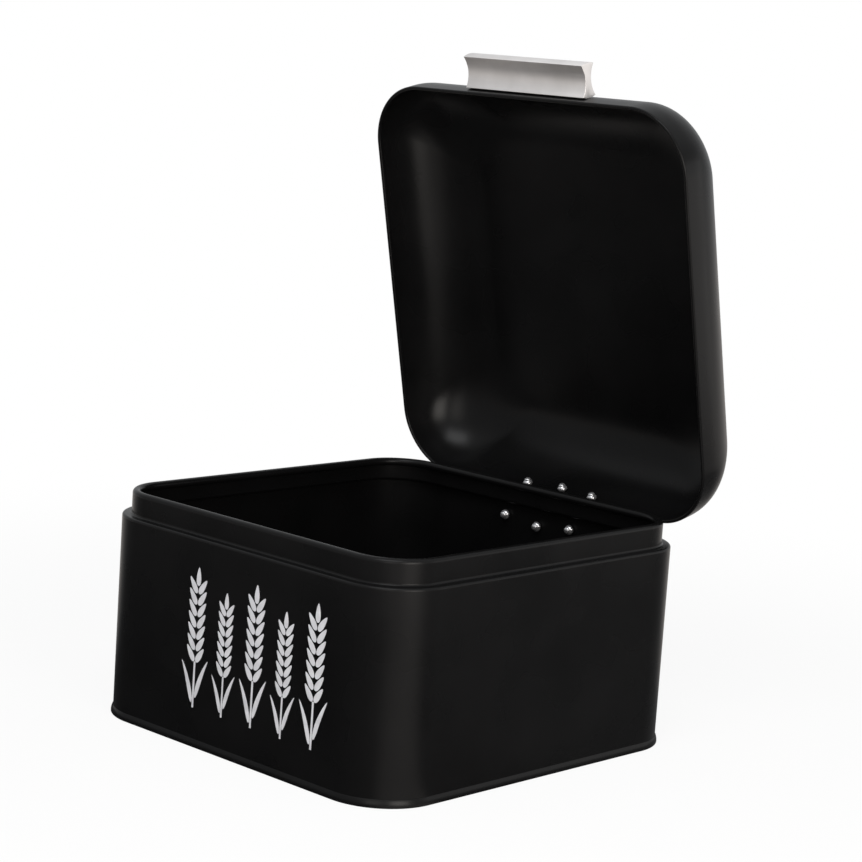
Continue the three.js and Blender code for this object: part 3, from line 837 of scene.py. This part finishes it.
# Printed wheat ears on the front, a thin film that stands just off the wall
wheat = {
    "ears": 5, "left": -46.5, "right": 92.5, "foot": 27.5, "height": 98.8, "shortShare": 0.88,
    "kernelLength": 13, "kernelWidth": 4.4, "kernelTurn": 36, "kernelPitch": 8,
    "kernelMargin": 1.5, "pairs": 7, "tipSink": 2.8, "taper": 0.4, "stemWidth": 1.8,
    "stemGap": 0.9, "leafLength": 30, "leafWidth": 3.6, "leafBend": 5, "leafTurn": 12.6051,
    "lowLeaf": 3.2, "highLeaf": 7.2, "bladeSides": 20, "film": 0.05, "gap": 0.02,
}


def makeWheatTree():
    tree, given, out = newTree("GeometryNodeTree", "wheatEars", {
        "Geometry": ["Geometry"], "Int": ["Ears", "Pairs", "Blade Sides"], "Float": [
            "Spread", "Height", "Short Share", "Kernel Length", "Kernel Width", "Kernel Turn",
            "Kernel Pitch", "Tip Sink", "Taper", "Stem Width", "Stem Gap", "Leaf Length",
            "Leaf Width", "Leaf Bend", "Leaf Turn", "Low Leaf", "High Leaf", "Film"],
        "Material": ["Material"],
    }, {"Geometry": ["Geometry"]})

    def times(first, second):
        return number(tree, "MULTIPLY", first, second)

    def minus(first, second):
        return number(tree, "SUBTRACT", first, second)

    def blade(kind, bend):
        # A flat drop from the origin up Y: wide near its foot, pointed at its tip, bent towards X
        disc = add(tree, "GeometryNodeMeshCircle", {
            "Vertices": given["Blade Sides"], "Radius": 1}, fill_type="NGON")
        x, y, _ = separate(tree, add(tree, "GeometryNodeInputPosition").outputs[0])
        rise = number(tree, "MULTIPLY_ADD", y, 0.5, 0.5)
        slim = number(tree, "MULTIPLY_ADD", y, times(given["Taper"], -1), 1)
        wide = times(times(x, slim), times(given[kind + " Width"], 0.5))
        side = times(number(tree, "POWER", rise, 2), bend)
        length = times(rise, given[kind + " Length"])
        place = combine(tree, number(tree, "ADD", wide, side), length, 0)
        moved = add(tree, "GeometryNodeSetPosition", {
            "Geometry": disc.outputs[0], "Position": place})
        return moved.outputs[0]

    def column(shape, count, x, y, pitch, turn):
        line = add(tree, "GeometryNodeMeshLine", {
            "Count": count, "Start Location": combine(tree, x, y, 0),
            "Offset": combine(tree, 0, pitch, 0)})
        spin = add(tree, "FunctionNodeEulerToRotation", {0: combine(tree, 0, 0, turn)})
        return instances(tree, line.outputs[0], shape, Rotation=spin.outputs[0])

    # One ear: pairs of kernels and a tip over a stem with two leaves
    pitch, gap = given["Kernel Pitch"], given["Stem Gap"]
    turn, pairs = given["Kernel Turn"], given["Pairs"]
    kernel = blade("Kernel", 0)
    earLength = minus(times(pitch, pairs), given["Tip Sink"])
    tipFoot = minus(given["Height"], given["Kernel Length"])
    earFoot = minus(tipFoot, earLength)
    stem = add(tree, "GeometryNodeMeshGrid", {
        "Size X": given["Stem Width"], "Size Y": earFoot, "Vertices X": 2, "Vertices Y": 2})
    stemUp = add(tree, "GeometryNodeTransform", {
        "Geometry": stem.outputs[0], "Translation": combine(tree, 0, times(earFoot, 0.5), 0)})
    beside = number(tree, "ADD", times(given["Stem Width"], 0.5), gap)
    leafRight = blade("Leaf", given["Leaf Bend"])
    leafLeft = blade("Leaf", times(given["Leaf Bend"], -1))
    ear = join(
        tree, column(kernel, pairs, gap, earFoot, pitch, times(turn, -1)),
        column(kernel, pairs, times(gap, -1), earFoot, pitch, turn),
        column(kernel, 1, 0, tipFoot, 0, 0), stemUp.outputs[0],
        column(leafRight, 1, beside, given["High Leaf"], 0, times(given["Leaf Turn"], -1)),
        column(leafLeft, 1, times(beside, -1), given["Low Leaf"], 0, given["Leaf Turn"]))

    # Every other ear is shorter.
    step = number(tree, "DIVIDE", given["Spread"], minus(given["Ears"], 1))
    feet = add(tree, "GeometryNodeMeshLine", {
        "Count": given["Ears"], "Offset": combine(tree, step, 0, 0)})
    odd = number(tree, "MODULO", add(tree, "GeometryNodeInputIndex").outputs[0], 2)
    shorter = number(tree, "MULTIPLY_ADD", odd, minus(given["Short Share"], 1), 1)
    ears = instances(tree, feet.outputs[0], ear, Scale=combine(tree, shorter, shorter, 1))
    real = add(tree, "GeometryNodeRealizeInstances", {"Geometry": ears})
    film = add(tree, "GeometryNodeExtrudeMesh", {
        "Mesh": real.outputs[0], "Offset Scale": given["Film"], "Individual": False})
    backs = add(tree, "GeometryNodeFlipFaces", {"Mesh": real.outputs[0]})
    return endTree(tree, join(tree, film.outputs["Mesh"], backs.outputs[0]), given, out)


def makeWheat(size):
    kernelTurn = math.radians(size["kernelTurn"])
    earHalf = size["stemGap"] + size["kernelLength"] * math.sin(kernelTurn) + size["kernelMargin"]
    lengths = {
        "Height": "height", "Kernel Length": "kernelLength", "Kernel Width": "kernelWidth",
        "Kernel Pitch": "kernelPitch", "Tip Sink": "tipSink", "Stem Width": "stemWidth",
        "Stem Gap": "stemGap", "Leaf Length": "leafLength", "Leaf Width": "leafWidth",
        "Leaf Bend": "leafBend", "Low Leaf": "lowLeaf", "High Leaf": "highLeaf", "Film": "film",
    }
    ears = newObject("wheatPrint", meshFrom("wheatPrint", [(0, 0, 0)]))
    addTree(ears, makeWheatTree(), {
        **{label: size[key] * mm for label, key in lengths.items()},
        "Spread": (size["right"] - size["left"] - 2 * earHalf) * mm,
        "Kernel Turn": kernelTurn, "Leaf Turn": math.radians(size["leafTurn"]),
        "Ears": size["ears"], "Pairs": size["pairs"], "Blade Sides": size["bladeSides"],
        "Short Share": size["shortShare"], "Taper": size["taper"], "Material": ink,
    })
    corner = Vector((size["left"] + earHalf, -box["depth"] / 2 - size["gap"], size["foot"]))
    upright = Matrix.Translation(mm * corner) @ Matrix.Rotation(math.pi / 2, 4, "X")
    finish(settle(ears, boxPlace @ upright), "box", "paint")


makeWheat(wheat)
print("print made")


# Studio: the camera sees a white floor and world, and what gloss sees of them is shaded by place.
# On the floor, what gloss sees is painted light and shade.
studio = {
    "floorSize": 16, "floorColour": (0.9, 0.9, 0.9), "floorRough": 0.9, "sky": 0.4,
    "shadowShare": 0.1, "shadowEdges": (0.35, 0.95),
    # In gloss alone: a cool sky, brightest overhead, over a floor of painted light and shade, cool
    # where it is dim and warm where it is bright
    "wallRise": (0.35, 0.7), "wall": 0.66, "skyTint": (0.97, 0.985, 1), "dimTint": (0.97, 0.98, 1),
    "brightTint": (1, 0.95, 0.91), "tintEdges": (0.12, 0.5),
    # What gloss sees of the floor is painted light and shade: dim ground with painted shade that
    # darkens it towards the box, a painted beam of bright light from the box's right front
    # corner, a soft one to the left behind, a faint one to the right behind, and pale ground
    # far off
    "nearShade": 0.065, "nearEdges": (0.2, 0.7), "ground": 0.11, "farEdges": (1, 1.5), "far": 0.85,
    "paintedBeams": (
        # source from the box's middle, compass turn, spread from full to none, strength
        ((0, 0), 140, (25, 60), 0.2), ((106, -110), 70, (15, 38), 1), ((0, 0), 224, (27, 74), 0.8),
    ),
    "aim": (0, -0.03, 0.2),
    "lamps": {
        # name: (place, width, height, watts, colour)
        "topFront": ((0.57, -1.02, 1.84), 1.2, 0.8, 18, (0.98, 0.99, 1)),
        "rightOfCamera": ((1.45, -0.42, 0.42), 0.7, 0.8, 14.5, (1, 0.95, 0.89)),
        "leftOfCamera": ((0.86, -1.26, 0.43), 0.6, 0.8, 4, (1, 0.95, 0.9)),
        "behindRight": ((1.25, 1.26, 0.43), 1.2, 0.8, 2.6, (1, 0.98, 0.96)),
    },
}


def castRays(tree):
    # Whether a ray comes from the camera, and whether it was reflected or let through
    rays = add(tree, "ShaderNodeLightPath").outputs
    seenInGloss = number(tree, "MAXIMUM", rays["Is Glossy Ray"], rays["Is Transmission Ray"])
    return rays["Is Camera Ray"], seenInGloss


def makeFloor(size):
    half = size["floorSize"] / 2
    corners = [(-half, -half, 0), (half, -half, 0), (half, half, 0), (-half, half, 0)]
    mesh = meshFrom("floor", corners, (), [(0, 1, 2, 3)])
    material, tree, shader = newMaterial("paleFloor")
    shader.inputs["Base Color"].default_value = (*size["floorColour"], 1)
    shader.inputs["Roughness"].default_value = size["floorRough"]
    shader.inputs["Specular IOR Level"].default_value = 0
    camera, gloss = castRays(tree)
    place = add(tree, "ShaderNodeTexCoord").outputs["Object"]
    away = vectorNode(tree, "LENGTH", {0: place}).outputs["Value"]
    # Painted shade: the ground that gloss sees is painted darker towards the box.
    ground = mapped(tree, away, size["nearEdges"], size["nearShade"], size["ground"])
    # Painted light: bright beams on the floor, seen only in gloss, give the box painted highlights.
    for source, turn, spread, strength in size["paintedBeams"]:
        start = boxMiddle + Vector((*source, 0)) * mm
        way = vector(tree, "NORMALIZE", vector(tree, "SUBTRACT", place, tuple(start)))
        beam = (math.sin(math.radians(turn)), -math.cos(math.radians(turn)), 0)
        along = vectorNode(tree, "DOT_PRODUCT", {0: way, 1: beam}).outputs["Value"]
        edges = [math.cos(math.radians(angle)) for angle in reversed(spread)]
        ground = mapped(tree, along, edges, ground, strength)
    mirrored = mapped(tree, away, size["farEdges"], ground, size["far"])
    # The painted light is tinted warm where it is bright and cool where it is dim.
    warmth = mapped(tree, mirrored, size["tintEdges"], 0, 1)
    tint = mixColours(tree, warmth, size["dimTint"], size["brightTint"])
    # For gloss, the floor glows with this painted light and shade; for the camera it glows white.
    glow = add(tree, "ShaderNodeEmission", {
        "Color": mixColours(tree, camera, tint, (1, 1, 1)),
        "Strength": mapped(tree, camera, (0, 1), mirrored, 1)})
    # Near the box, a share of what the camera sees is the lit floor, which carries the shadow.
    seen = number(tree, "MULTIPLY", camera,
                  mapped(tree, away, size["shadowEdges"], 1 - size["shadowShare"], 1))
    mix = add(tree, "ShaderNodeMixShader", {
        0: number(tree, "MAXIMUM", seen, gloss), 1: shader.outputs[0], 2: glow.outputs[0]})
    feed(tree, tree.nodes["Material Output"].inputs["Surface"], mix.outputs[0])
    mesh.materials.append(material)
    newObject("floor", mesh)


def makeWorld(size):
    world = bpy.data.worlds.new("studio")
    world.use_nodes = True
    tree = world.node_tree
    background = tree.nodes["Background"]
    camera, gloss = castRays(tree)
    rise = separate(tree, add(tree, "ShaderNodeTexCoord").outputs["Generated"])["Z"]
    mirrored = mapped(tree, rise, size["wallRise"], size["wall"], 1)
    lit = mapped(tree, gloss, (0, 1), size["sky"], mirrored)
    feed(tree, background.inputs["Color"], mixColours(tree, camera, size["skyTint"], (1, 1, 1)))
    feed(tree, background.inputs["Strength"], mapped(tree, camera, (0, 1), lit, 1))
    scene.world = world


def makeLamps(size):
    for name, (place, width, height, watts, colour) in size["lamps"].items():
        data = bpy.data.lights.new(name, "AREA")
        data.shape, data.size, data.size_y = "RECTANGLE", width, height
        data.energy, data.color = watts, colour
        lamp = bpy.data.objects.new(name, data)
        lamp.location = place
        way = Vector(size["aim"]) - Vector(place)
        lamp.rotation_euler = way.to_track_quat("-Z", "Y").to_euler()
        scene.collection.objects.link(lamp)


makeFloor(studio)
makeWorld(studio)
makeLamps(studio)
scene.view_settings.view_transform = "Standard"
print("studio lit")
